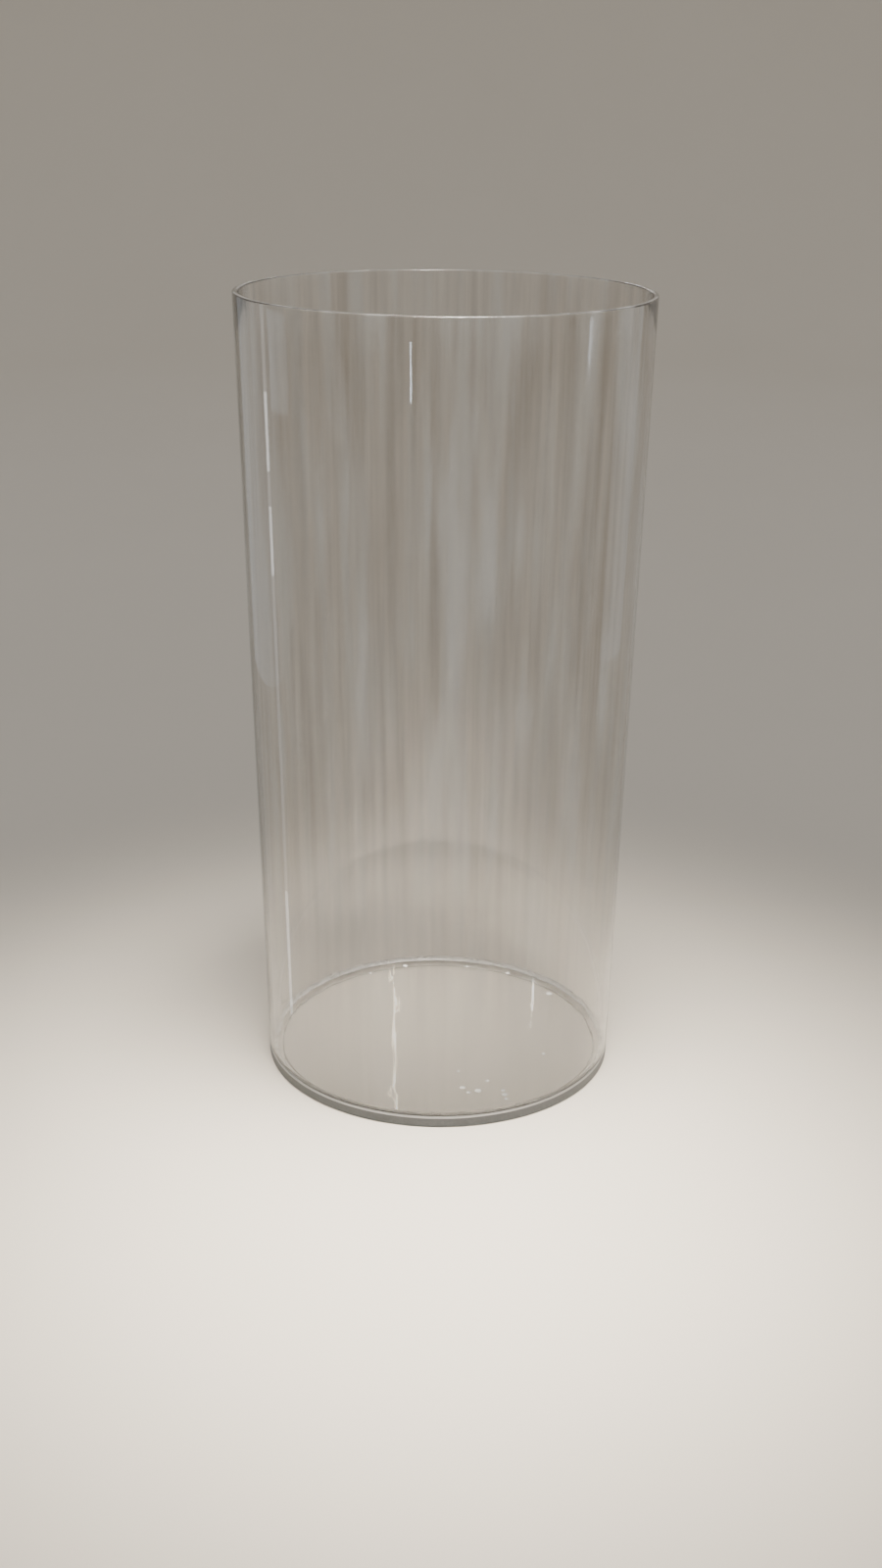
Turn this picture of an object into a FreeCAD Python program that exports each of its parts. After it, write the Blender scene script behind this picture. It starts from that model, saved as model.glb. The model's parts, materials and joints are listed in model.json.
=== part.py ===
"""Cylinder vase: a clear drawn tube standing on a clear flat disc of the same outside diameter.

The two are bonded by a ring of cured cement, which fills the joint, the tube's broken inside edge
and a small fillet in the corner above the floor. Nothing moves. All sizes are in millimetres, with
+Z up and the origin at the centre of the underside, on the surface that the vase stands on.
"""

import FreeCAD, Part
import math
import os

# Driving dimensions
outer_diameter = 150.0
overall_height = 300.0
wall_thickness = 2.0
base_thickness = 5.0
cement_film = 0.20

# Edge details
rim_round = 0.6
foot_chamfer_outside = 0.25
foot_chamfer_inside = 0.60
disc_edge_chamfer = 0.35
fillet_width = 1.60

# Derived sizes
outer_radius = outer_diameter / 2
inner_radius = outer_radius - wall_thickness
tube_foot_z = base_thickness + cement_film
foot_inside_radius = inner_radius + foot_chamfer_inside
wall_start_z = tube_foot_z + foot_chamfer_inside
rim_shoulder_z = overall_height - rim_round
disc_face_radius = outer_radius - disc_edge_chamfer

FULL_TURN = 360
Z_AXIS = FreeCAD.Vector(0, 0, 1)
ORIGIN = FreeCAD.Vector(0, 0, 0)


def point(radius, height):
    """A point of a profile, in the XZ plane."""
    return FreeCAD.Vector(radius, 0, height)


def line(start, end):
    return Part.LineSegment(point(*start), point(*end)).toShape()


def arc(start, middle, end):
    return Part.Arc(point(*start), point(*middle), point(*end)).toShape()


def outline(points):
    """The straight edges that join the points in turn."""
    return [line(a, b) for a, b in zip(points, points[1:])]


def turned(edges):
    """One solid of revolution about Z, from the edges of a closed profile."""
    profile = Part.Face(Part.Wire(edges))
    return profile.revolve(ORIGIN, Z_AXIS, FULL_TURN)


def wall_tube():
    """The drawn tube: a square-cut foot with both edges broken, and a rounded, polished rim."""
    shoulder_drop = rim_round * (1 - math.sqrt(0.5))
    outside_shoulder = (outer_radius, rim_shoulder_z)
    outside_middle = (outer_radius - shoulder_drop, overall_height - shoulder_drop)
    outside_top = (outer_radius - rim_round, overall_height)
    inside_top = (inner_radius + rim_round, overall_height)
    inside_middle = (inner_radius + shoulder_drop, overall_height - shoulder_drop)
    inside_shoulder = (inner_radius, rim_shoulder_z)
    edges = outline(
        [
            inside_shoulder,
            (inner_radius, wall_start_z),
            (foot_inside_radius, tube_foot_z),
            (outer_radius - foot_chamfer_outside, tube_foot_z),
            (outer_radius, tube_foot_z + foot_chamfer_outside),
            outside_shoulder,
        ]
    )
    edges.append(arc(outside_shoulder, outside_middle, outside_top))
    edges.append(line(outside_top, inside_top))
    edges.append(arc(inside_top, inside_middle, inside_shoulder))
    return turned(edges)


def base_disc():
    """The flat floor of the vase, cut from clear sheet, with both edges of its rim broken."""
    return turned(
        outline(
            [
                (0, 0),
                (disc_face_radius, 0),
                (outer_radius, disc_edge_chamfer),
                (outer_radius, base_thickness - disc_edge_chamfer),
                (disc_face_radius, base_thickness),
                (0, base_thickness),
                (0, 0),
            ]
        )
    )


def joint_cement():
    """The cured cement: a film under the tube's foot, its inside chamfer filled, and a small fillet."""
    wall_start = (inner_radius, wall_start_z)
    return turned(
        outline(
            [
                wall_start,
                (foot_inside_radius, tube_foot_z),
                (disc_face_radius, tube_foot_z),
                (disc_face_radius, base_thickness),
                (inner_radius - fillet_width, base_thickness),
                wall_start,
            ]
        )
    )


def write(shape, node):
    shape.exportStep(os.path.join("parts", node + ".step"))
    print(f"{node}: {len(shape.Solids)} solid, {shape.Volume / 1000:.2f} ml, valid {shape.isValid()}")


os.makedirs("parts", exist_ok=True)
write(wall_tube(), "wall_tube")
write(base_disc(), "base_disc")
write(joint_cement(), "joint_cement")
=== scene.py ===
"""The looks of a clear cylinder vase: a drawn tube, a flat disc floor and the cement that bonds them."""

import json
import math
import random

import bmesh
import bpy
from mathutils import Matrix, Vector


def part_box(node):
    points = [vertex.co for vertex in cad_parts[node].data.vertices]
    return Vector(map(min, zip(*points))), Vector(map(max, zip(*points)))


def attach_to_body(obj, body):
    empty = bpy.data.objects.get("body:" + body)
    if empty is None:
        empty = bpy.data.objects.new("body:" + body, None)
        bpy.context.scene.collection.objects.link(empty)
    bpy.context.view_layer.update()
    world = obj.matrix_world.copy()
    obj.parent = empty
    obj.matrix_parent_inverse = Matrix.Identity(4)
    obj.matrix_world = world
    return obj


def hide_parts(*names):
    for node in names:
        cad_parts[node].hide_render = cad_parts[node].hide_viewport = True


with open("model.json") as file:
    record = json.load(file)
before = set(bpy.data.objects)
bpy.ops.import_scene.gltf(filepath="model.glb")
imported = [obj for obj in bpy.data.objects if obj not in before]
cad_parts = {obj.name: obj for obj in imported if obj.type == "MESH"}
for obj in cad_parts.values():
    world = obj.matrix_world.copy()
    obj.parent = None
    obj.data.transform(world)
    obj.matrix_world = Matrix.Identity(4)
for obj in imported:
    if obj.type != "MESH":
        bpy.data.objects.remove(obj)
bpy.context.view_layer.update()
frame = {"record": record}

MM = 0.001

# ---------------------------------------------------------------- sizes, from the frame
tube_low, tube_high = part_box("wall_tube")
disc_low, disc_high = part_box("base_disc")
cement_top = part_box("joint_cement")[1]
mouth = next(m for m in frame["record"]["mounts"] if m["name"] == "mouth")

OUTER_R = (disc_high.x - disc_low.x) / 2
INNER_R = mouth["dims"]["r_mm"] * MM
RIM_Z = tube_high.z
FOOT_Z = tube_low.z
DISC_TOP = disc_high.z
WALL_START = cement_top.z

# Edge details that the frame doesn't give
RIM_ROUND = 0.6 * MM
FOOT_CHAMFER = 0.25 * MM
DISC_EDGE = 0.35 * MM
FILLET_WIDTH = 1.6 * MM
GLUE_GAP = 0.01 * MM
DRAW_LINE = 0.16 * MM
FILLET_WAVE = 0.05 * MM
DROP_RISE = 0.45

# The groove on the underside of the floor
RING_R = 69.4 * MM
RING_WIDTH = 0.6 * MM
RING_DEPTH = 0.2 * MM

# How finely the round pieces are cut, and the seeds of their unevenness
AROUND = 480
CEMENT_SEED = 7
LINE_SEED = 11

# Drops of cement on the floor: x, y and radius, in millimetres
DROPS = [
    (10.5, -50.0, 1.2), (13.0, -54.0, 0.9), (17.0, -52.5, 1.4), (27.5, -52.0, 0.9), (28.0, -55.5, 1.2),
    (28.5, -59.0, 0.8), (21.0, -44.0, 0.8), (33.0, 58.5, 1.2), (14.0, 65.0, 1.0), (52.0, 37.5, 1.4),
    (-16.0, 65.0, 1.2), (-33.0, 57.0, 0.8), (46.0, -20.0, 0.7), (9.0, -36.0, 0.7),
]


# ---------------------------------------------------------------- camera
CAMERA_DISTANCE, CAMERA_HEIGHT = 0.6715, 0.3664
PITCH, YAW, ROLL = 33.20, 0.18, 0.69
LENS, SENSOR, SHIFT_UP = 38.98, 36, 0.25


def aim_camera():
    """From a little above the rim, looking down, with the vase high in the lens."""
    pitch, yaw, roll = math.radians(PITCH), math.radians(YAW), math.radians(ROLL)
    level = Vector((math.sin(yaw), math.cos(yaw), 0))
    forward = level * math.cos(pitch) - Vector((0, 0, math.sin(pitch)))
    right = Vector((math.cos(yaw), -math.sin(yaw), 0))
    up = right.cross(forward)
    rolled_right = right * math.cos(roll) + up * math.sin(roll)
    rolled_up = up * math.cos(roll) - right * math.sin(roll)
    data = bpy.data.cameras.new("camera")
    data.sensor_width = SENSOR
    data.lens = LENS
    data.shift_y = SHIFT_UP
    data.clip_start = 0.01
    camera = bpy.data.objects.new("camera", data)
    axes = Matrix((rolled_right, rolled_up, -forward)).transposed().to_4x4()
    camera.matrix_world = Matrix.Translation((0, -CAMERA_DISTANCE, CAMERA_HEIGHT)) @ axes
    bpy.context.scene.collection.objects.link(camera)
    bpy.context.scene.camera = camera


# ---------------------------------------------------------------- node helpers
class Nodes:
    """A material's node tree, with short ways to add and join nodes."""

    def __init__(self, name):
        self.material = bpy.data.materials.new(name)
        self.material.use_nodes = True
        self.tree = self.material.node_tree
        self.tree.nodes.clear()
        self.output = self.add("ShaderNodeOutputMaterial")

    def add(self, kind, **settings):
        node = self.tree.nodes.new(kind)
        for key, value in settings.items():
            setattr(node, key, value)
        return node

    def join(self, source, target):
        self.tree.links.new(source, target)

    def place(self):
        return self.add("ShaderNodeTexCoord").outputs["Object"]

    def maths(self, operation, first, second):
        node = self.add("ShaderNodeMath", operation=operation)
        for socket, value in zip(node.inputs, (first, second)):
            if isinstance(value, (int, float)):
                socket.default_value = value
            else:
                self.join(value, socket)
        return node.outputs[0]

    def spread(self, value, low, high, bottom=0.0, top=1.0):
        """The value's range low to high stretched to bottom to top, and held there beyond it."""
        node = self.add("ShaderNodeMapRange", clamp=True)
        self.join(value, node.inputs["Value"])
        for socket, number in (("From Min", low), ("From Max", high), ("To Min", bottom), ("To Max", top)):
            node.inputs[socket].default_value = number
        return node.outputs["Result"]

    def noise(self, across, along, detail=2.0):
        """Noise whose grain is `across` per metre round the piece and `along` per metre up it."""
        stretch = self.add("ShaderNodeMapping")
        stretch.inputs["Scale"].default_value = (across, across, along)
        self.join(self.place(), stretch.inputs["Vector"])
        node = self.add("ShaderNodeTexNoise")
        node.inputs["Scale"].default_value = 1.0
        node.inputs["Detail"].default_value = detail
        self.join(stretch.outputs["Vector"], node.inputs["Vector"])
        return node.outputs["Fac"]

    def height(self):
        split = self.add("ShaderNodeSeparateXYZ")
        self.join(self.place(), split.inputs["Vector"])
        return split.outputs["Z"]

    def radius(self):
        split = self.add("ShaderNodeSeparateXYZ")
        self.join(self.place(), split.inputs["Vector"])
        squares = [self.maths("POWER", split.outputs[axis], 2.0) for axis in "XY"]
        return self.maths("SQRT", self.maths("ADD", *squares), 0.0)

    def blend(self, factor, first, second):
        """A colour between two, by the factor. Each colour is three numbers or another node's output."""
        node = self.add("ShaderNodeMix", data_type="RGBA")
        self.join(factor, node.inputs["Factor"])
        for socket, colour in ((node.inputs[6], first), (node.inputs[7], second)):
            if isinstance(colour, tuple):
                socket.default_value = (*colour, 1)
            else:
                self.join(colour, socket)
        return node.outputs[2]

    def bump(self, value, distance, strength=1.0):
        node = self.add("ShaderNodeBump")
        node.inputs["Strength"].default_value = strength
        node.inputs["Distance"].default_value = distance
        self.join(value, node.inputs["Height"])
        return node.outputs["Normal"]

    def glass(self, tint, density, **values):
        """A clear shader with an absorbing inside. Constant numbers are set on the shader's own sockets."""
        shader = self.add("ShaderNodeBsdfPrincipled")
        shader.inputs["Transmission Weight"].default_value = 1.0
        for socket, value in values.items():
            shader.inputs[socket.replace("_", " ")].default_value = value
        self.join(shader.outputs["BSDF"], self.output.inputs["Surface"])
        volume = self.add("ShaderNodeVolumeAbsorption")
        volume.inputs["Color"].default_value = (*tint, 1)
        volume.inputs["Density"].default_value = density
        self.join(volume.outputs["Volume"], self.output.inputs["Volume"])
        return shader


# ---------------------------------------------------------------- materials
def tube_material():
    """Drawn glass: long fine lines up the tube, broad warm and cool bands, and a faint film of dust."""
    nodes = Nodes("tube_glass")
    shader = nodes.glass((0.79, 0.79, 0.775), 75, IOR=1.5)
    above_foot = nodes.spread(nodes.height(), 0.04, 0.13, 0.12, 1.0)
    rim = nodes.spread(nodes.height(), RIM_Z - 1.2 * MM, RIM_Z - 0.5 * MM)
    fine = nodes.spread(nodes.noise(280, 9.0, 3.0), 0.42, 0.66)
    broad = nodes.spread(nodes.noise(50, 12.0, 3.0), 0.40, 0.62)
    lines = nodes.maths("MULTIPLY", fine, above_foot)
    bands = nodes.maths("MULTIPLY", broad, above_foot)
    warm_to_cool = nodes.blend(bands, (0.985, 0.975, 0.96), (0.92, 0.895, 0.865))
    darkened = nodes.blend(lines, (1.0, 1.0, 1.0), (0.83, 0.82, 0.815))
    tint = nodes.add("ShaderNodeMix", data_type="RGBA", blend_type="MULTIPLY")
    tint.inputs["Factor"].default_value = 1.0
    nodes.join(warm_to_cool, tint.inputs[6])
    nodes.join(darkened, tint.inputs[7])
    haze = nodes.maths("MULTIPLY", nodes.spread(nodes.noise(130, 14.0, 3.0), 0.48, 0.70), above_foot)
    nodes.join(nodes.blend(haze, tint.outputs[2], (0.875, 0.89, 0.90)), shader.inputs["Base Color"])
    hazy = nodes.maths("MAXIMUM", haze, nodes.maths("MULTIPLY", rim, 0.15))
    nodes.join(nodes.spread(hazy, 0.0, 2.2, 0.99, 0.80), shader.inputs["Transmission Weight"])
    nodes.join(nodes.spread(hazy, 0.0, 2.2, 0.01, 0.22), shader.inputs["Roughness"])
    nodes.join(nodes.bump(fine, 0.004 * MM), shader.inputs["Normal"])
    return nodes.material


def disc_material():
    """Clear sheet with a ground edge, matt and scarcely clear there, polished on both faces. The edge is
    painted dark as painted shade, lighter along its top as a painted light line, and a dark line of painted
    shade runs along the groove underneath.
    """
    nodes = Nodes("disc_glass")
    shader = nodes.glass((0.95, 0.95, 0.93), 20, IOR=1.5)
    edge = nodes.spread(nodes.radius(), OUTER_R - 0.6 * MM, OUTER_R - 0.2 * MM)
    grind = nodes.noise(900, 900, 4.0)
    # The ground edge's dark colour is painted shade; its top strip is painted lighter, a painted light line.
    grey = nodes.blend(grind, (0.058, 0.065, 0.071), (0.105, 0.114, 0.121))
    edge_top_painted_light = nodes.spread(nodes.height(), DISC_TOP - 1.1 * MM, DISC_TOP - 0.7 * MM)
    ground = nodes.blend(edge_top_painted_light, grey, (0.50, 0.50, 0.49))
    # A dark line painted along the groove on the underside, as painted shade.
    from_ring = nodes.maths("ABSOLUTE", nodes.maths("SUBTRACT", nodes.radius(), RING_R), 0.0)
    painted_ring_shade = nodes.spread(from_ring, 0.15 * MM, 0.75 * MM, 1.0, 0.0)
    low = nodes.spread(nodes.height(), 0.3 * MM, 0.6 * MM, 1.0, 0.0)
    clear = nodes.blend(nodes.maths("MULTIPLY", painted_ring_shade, low), (1.0, 1.0, 0.995), (0.34, 0.335, 0.32))
    nodes.join(nodes.blend(edge, clear, ground), shader.inputs["Base Color"])
    scuff = nodes.spread(nodes.noise(60, 60, 4.0), 0.5, 0.75, 0.0, 0.012)
    underside = nodes.spread(nodes.height(), 0.3 * MM, 0.6 * MM, 1.0, 0.0)
    worn = nodes.maths("MULTIPLY", underside, nodes.spread(nodes.radius(), RING_R, RING_R + 0.5 * MM))
    ground_matt = nodes.spread(edge, 0.0, 1.0, 0.0, 0.45)
    matt = nodes.maths("MAXIMUM", ground_matt, nodes.spread(worn, 0.0, 1.0, 0.0, 0.30))
    nodes.join(nodes.maths("MAXIMUM", scuff, matt), shader.inputs["Roughness"])
    nodes.join(nodes.spread(edge, 0.0, 1.0, 1.0, 0.22), shader.inputs["Transmission Weight"])
    nodes.join(nodes.bump(nodes.noise(42, 42, 1.5), 0.09 * MM), shader.inputs["Normal"])
    return nodes.material


def cement_material():
    """Cured cement: clear, a little cloudy, and uneven where it ran. Its drops on the floor are painted
    near-white and scarcely clear, as a painted glint.
    """
    nodes = Nodes("cured_cement")
    shader = nodes.glass((0.95, 0.95, 0.93), 40, IOR=1.48)
    cloud = nodes.spread(nodes.noise(260, 260, 3.0), 0.35, 0.7)
    # The drops, inside this radius, are painted near-white and scarcely clear: a painted glint.
    ring = nodes.spread(nodes.radius(), INNER_R - 3.2 * MM, INNER_R - 2.8 * MM)
    film = nodes.blend(cloud, (0.72, 0.715, 0.70), (0.54, 0.535, 0.525))
    nodes.join(nodes.blend(ring, (0.97, 0.97, 0.96), film), shader.inputs["Base Color"])
    ring_share = nodes.spread(ring, 0.0, 1.0, 0.15, 1.0)
    clearness = nodes.maths("MULTIPLY", nodes.spread(cloud, 0.0, 1.0, 0.75, 0.50), ring_share)
    nodes.join(clearness, shader.inputs["Transmission Weight"])
    nodes.join(nodes.spread(cloud, 0.0, 1.0, 0.03, 0.10), shader.inputs["Roughness"])
    nodes.join(nodes.bump(nodes.noise(400, 400, 2.0), 0.015 * MM), shader.inputs["Normal"])
    return nodes.material


# ---------------------------------------------------------------- meshes
def draw_lines(seed, height):
    """How far a drawn surface stands off the true round, in metres, as a function of the angle."""
    source = random.Random(seed)
    waves = []
    for turns in (3, 7, 13, 22, 31, 43, 58):
        waves.append((turns, source.uniform(0, 2 * math.pi), height / turns ** 1.3))

    def offset(angle):
        return sum(size * math.cos(turns * angle + phase) for turns, phase, size in waves)

    return offset


def lathe(profile, offset=None):
    """A closed surface of revolution about Z, as a bmesh.

    The profile is a closed loop of (radius, height, share) points, where the share is how much of
    the angle's offset the point takes.
    """
    mesh = bmesh.new()
    rings = []
    for radius, height, share in profile:
        if radius < 1e-9:
            rings.append([mesh.verts.new((0, 0, height))])
            continue
        ring = []
        for i in range(AROUND):
            angle = 2 * math.pi * i / AROUND
            away = radius + (offset(angle) * share if offset else 0)
            ring.append(mesh.verts.new((away * math.cos(angle), away * math.sin(angle), height)))
        rings.append(ring)
    for lower, upper in zip(rings, rings[1:] + rings[:1]):
        for i in range(AROUND):
            j = (i + 1) % AROUND
            corners = [lower[i % len(lower)], lower[j % len(lower)]]
            corners += [upper[j % len(upper)], upper[i % len(upper)]]
            unique = list(dict.fromkeys(corners))
            if len(unique) > 2:
                mesh.faces.new(unique)
    return mesh


def make_piece(name, mesh, material):
    """The bmesh as an object, smooth but sharp at the ground and cut edges."""
    bmesh.ops.recalc_face_normals(mesh, faces=mesh.faces)
    data = bpy.data.meshes.new(name)
    mesh.to_mesh(data)
    mesh.free()
    for face in data.polygons:
        face.use_smooth = True
    data.set_sharp_from_angle(angle=math.radians(20))
    piece = bpy.data.objects.new(name, data)
    bpy.context.scene.collection.objects.link(piece)
    piece.data.materials.append(material)
    return piece


def quarter(centre, radius, start, steps=6):
    """Points of a quarter circle about a (radius, height) centre, from the start angle in degrees."""
    points = []
    for i in range(steps + 1):
        angle = math.radians(start + 90 * i / steps)
        points.append((centre[0] + radius * math.cos(angle), centre[1] + radius * math.sin(angle)))
    return points


def attach(piece, node):
    """Hang the piece on the root body, and hide the CAD node that it stands for."""
    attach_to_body(piece, "root")
    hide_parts(node)


def build_tube():
    """The wall: a straight tube with a rounded rim. Its faces are a little wavy, except at the foot."""
    shoulder = RIM_Z - RIM_ROUND
    low = FOOT_Z + FOOT_CHAMFER
    heights = [low + (shoulder - low) * i / 24 for i in range(25)]
    outside = [(OUTER_R, z, 1.0) for z in heights]
    rim = [(r, z, 1.0) for r, z in quarter((OUTER_R - RIM_ROUND, shoulder), RIM_ROUND, 0)[1:]]
    rim += [(r, z, -1.0) for r, z in quarter((INNER_R + RIM_ROUND, shoulder), RIM_ROUND, 90)[:-1]]
    heights = [WALL_START + (shoulder - WALL_START) * i / 24 for i in range(24, -1, -1)]
    inside = [(INNER_R, z, -1.0) for z in heights]
    foot = [(INNER_R + (WALL_START - FOOT_Z), FOOT_Z, 0.0), (OUTER_R - FOOT_CHAMFER, FOOT_Z, 0.0)]
    outside = [(r, z, 0.0 if z == low else s) for r, z, s in outside]
    inside = [(r, z, 0.0 if z == WALL_START else s) for r, z, s in inside]
    mesh = lathe(outside + rim + inside + foot, draw_lines(LINE_SEED, DRAW_LINE))
    attach(make_piece("tube_wall", mesh, tube_material()), "wall_tube")


def build_disc():
    """The floor: flat on both faces, its edges eased, with the groove cut in its underside."""
    edge = OUTER_R - DISC_EDGE
    groove = [(RING_R - RING_WIDTH / 2, 0, 0), (RING_R, RING_DEPTH, 0), (RING_R + RING_WIDTH / 2, 0, 0)]
    side = [(edge, 0, 0), (OUTER_R, DISC_EDGE, 0), (OUTER_R, DISC_TOP - DISC_EDGE, 0), (edge, DISC_TOP, 0)]
    profile = [(0, 0, 0)] + groove + side + [(0, DISC_TOP, 0)]
    attach(make_piece("floor_disc", lathe(profile), disc_material()), "base_disc")


def add_drop(mesh, place, radius, height):
    """A small closed cap of cement lying on the floor, round in plan."""
    around, steps = 20, 5
    centre = Vector((place[0], place[1], DISC_TOP + GLUE_GAP))
    rings = []
    for step in range(steps):
        turn = math.radians(90 * step / steps)
        flat, lift = radius * math.cos(turn), height * math.sin(turn)
        angles = [2 * math.pi * i / around for i in range(around)]
        offsets = [Vector((flat * math.cos(a), flat * math.sin(a), lift)) for a in angles]
        rings.append([mesh.verts.new(centre + offset) for offset in offsets])
    top = mesh.verts.new(centre + Vector((0, 0, height)))
    mesh.faces.new(rings[0][::-1])
    for lower, upper in zip(rings, rings[1:]):
        for i in range(around):
            j = (i + 1) % around
            mesh.faces.new((lower[i], lower[j], upper[j], upper[i]))
    for i in range(around):
        mesh.faces.new((rings[-1][i], rings[-1][(i + 1) % around], top))


def build_cement():
    """The ring of cement, its inner edge a little uneven over the floor, and the drops that ran off it."""
    source = random.Random(CEMENT_SEED)
    floor_z, wall_r = DISC_TOP + GLUE_GAP, INNER_R - GLUE_GAP
    profile = [(wall_r, WALL_START, 0), (INNER_R + (WALL_START - FOOT_Z), FOOT_Z - GLUE_GAP, 0)]
    profile += [(OUTER_R - DISC_EDGE, FOOT_Z - GLUE_GAP, 0), (OUTER_R - DISC_EDGE, floor_z, 0)]
    meniscus = quarter((wall_r - FILLET_WIDTH, floor_z + FILLET_WIDTH), FILLET_WIDTH, -90, 8)
    profile += [(r, z, 1.0 if i < 6 else 0.0) for i, (r, z) in enumerate(meniscus)]
    turns = (3, 5, 9, 14, 23)
    waves = [(t, source.uniform(0, 2 * math.pi), FILLET_WAVE / t ** 0.3) for t in turns]
    mesh = lathe(profile, lambda angle: sum(size * math.cos(t * angle + phase) for t, phase, size in waves))
    for x, y, radius in DROPS:
        add_drop(mesh, (x * MM, y * MM), radius * MM, DROP_RISE * radius * MM)
    attach(make_piece("cement_ring", mesh, cement_material()), "joint_cement")


# ---------------------------------------------------------------- stage and light
def build_stage():
    """A round pale floor that curves up into a low wall, far enough out to stand behind every view."""
    radius, cove, wall = 3.0, 0.9, 2.4
    profile = [(0, -0.1 * MM), (0.15, -0.1 * MM), (0.6, -0.1 * MM), (radius - cove, -0.1 * MM)]
    for i in range(1, 13):
        angle = math.radians(90 * i / 12)
        profile.append((radius - cove + cove * math.sin(angle), cove - cove * math.cos(angle)))
    profile.append((radius, wall))
    around = 96
    angles = [2 * math.pi * i / around for i in range(around)]
    points = [(r * math.cos(a), r * math.sin(a), z) for r, z in profile[1:] for a in angles]
    points.append((0, 0, profile[0][1]))
    faces = [(len(points) - 1, i, (i + 1) % around) for i in range(around)]
    for ring in range(len(profile) - 2):
        inner, outer = ring * around, (ring + 1) * around
        for i in range(around):
            j = (i + 1) % around
            faces.append((inner + i, outer + i, outer + j, inner + j))
    data = bpy.data.meshes.new("backdrop")
    data.from_pydata(points, [], faces)
    for face in data.polygons:
        face.use_smooth = True
    stage = bpy.data.objects.new("backdrop", data)
    bpy.context.scene.collection.objects.link(stage)
    nodes = Nodes("backdrop")
    shader = nodes.add("ShaderNodeBsdfPrincipled")
    shader.inputs["Roughness"].default_value = 0.9
    shader.inputs["Specular IOR Level"].default_value = 0.1
    nodes.join(shader.outputs["BSDF"], nodes.output.inputs["Surface"])
    grain = nodes.noise(3, 3, 3.0)
    nodes.join(nodes.blend(grain, (0.685, 0.625, 0.535), (0.715, 0.655, 0.565)), shader.inputs["Base Color"])
    data.materials.append(nodes.material)


def area_light(name, place, target, size, radiance, colour, only_shine=False, spread=180):
    """A rectangular light. One that is only for shine shows in reflections and lights nothing."""
    data = bpy.data.lights.new(name, "AREA")
    data.shape = "RECTANGLE"
    data.size, data.size_y = size
    data.energy = radiance * math.pi * size[0] * size[1]
    data.color = colour
    data.spread = math.radians(spread)
    light = bpy.data.objects.new(name, data)
    light.location = place
    light.rotation_euler = (Vector(target) - Vector(place)).to_track_quat("-Z", "Y").to_euler()
    bpy.context.scene.collection.objects.link(light)
    light.visible_camera = False
    if only_shine:
        light.visible_diffuse = False
        light.visible_transmission = False
    return light


COOL, WARM, WHITE = (0.82, 0.91, 1.0), (1.0, 0.93, 0.80), (0.98, 0.99, 1.0)
FOOT, MIDDLE = (0, 0, 0), (0, 0, 0.15)

# Panes and bars that only shine on the wall: name, place, target, size, radiance and colour
SHINES = [
    ("window", (0.45, 0.17, 0.20), MIDDLE, (0.20, 0.30), 0.42, COOL),
    ("side_right", (0.45, 0.42, 0.17), MIDDLE, (0.40, 0.34), 0.04, COOL),
    ("side_left", (-0.50, 0.30, 0.17), MIDDLE, (0.44, 0.34), 0.36, COOL),
    ("haze_left", (-0.52, 0.04, 0.235), MIDDLE, (0.14, 0.09), 0.9, COOL),
    ("strip_0", (-0.122, -0.016, 0.150), (0, -0.045, 0.150), (0.0045, 0.340), 0.9, WHITE),
    ("strip_1", (-0.122, -0.016, 0.249), (0, -0.045, 0.249), (0.0045, 0.028), 3.6, WHITE),
    ("strip_2", (-0.122, -0.016, 0.209), (0, -0.045, 0.209), (0.0045, 0.026), 3.2, WHITE),
    ("strip_3", (-0.122, -0.016, 0.030), (0, -0.045, 0.030), (0.0045, 0.062), 2.4, WHITE),
    ("glint_left", (-0.258, -0.835, 0.196), MIDDLE, (0.011, 0.09), 20.0, COOL),
    ("glint_right", (0.545, -0.119, 0.250), MIDDLE, (0.010, 0.07), 13.0, COOL),
]

# Lights behind the vase that the floor of it mirrors, and that don't light the stage
BACK_LAMPS = [
    ("lamp", (-0.062, 1.2, 0.68), FOOT, (0.0035, 0.26), 70.0, WARM),
    ("far_lamp", (0.135, 1.2, 0.58), FOOT, (0.005, 0.08), 60.0, (1, 1, 1)),
]


def build_light():
    """A soft pool of warm light round the foot, an even cool sky, and lights that only shine."""
    world = bpy.data.worlds.new("world")
    world.use_nodes = True
    sky = world.node_tree.nodes["Background"]
    sky.inputs["Color"].default_value = (0.92, 0.95, 1.0, 1)
    sky.inputs["Strength"].default_value = 0.74
    bpy.context.scene.world = world
    pool = ((0.04, -0.17, 0.75), (0, -0.13, 0), (0.28, 0.28), 7.5, (1.0, 0.94, 0.85))
    area_light("key", *pool, spread=42)
    sheen = area_light("sheen", (0, 1.3, 0.72), FOOT, (0.9, 0.6), 0.5, (1.0, 0.97, 0.93))
    sheen.visible_diffuse = False
    for shine in SHINES:
        area_light(*shine, only_shine=True)
    for lamp in BACK_LAMPS:
        area_light(*lamp).visible_diffuse = False


aim_camera()
build_tube()
build_disc()
build_cement()
build_stage()
build_light()
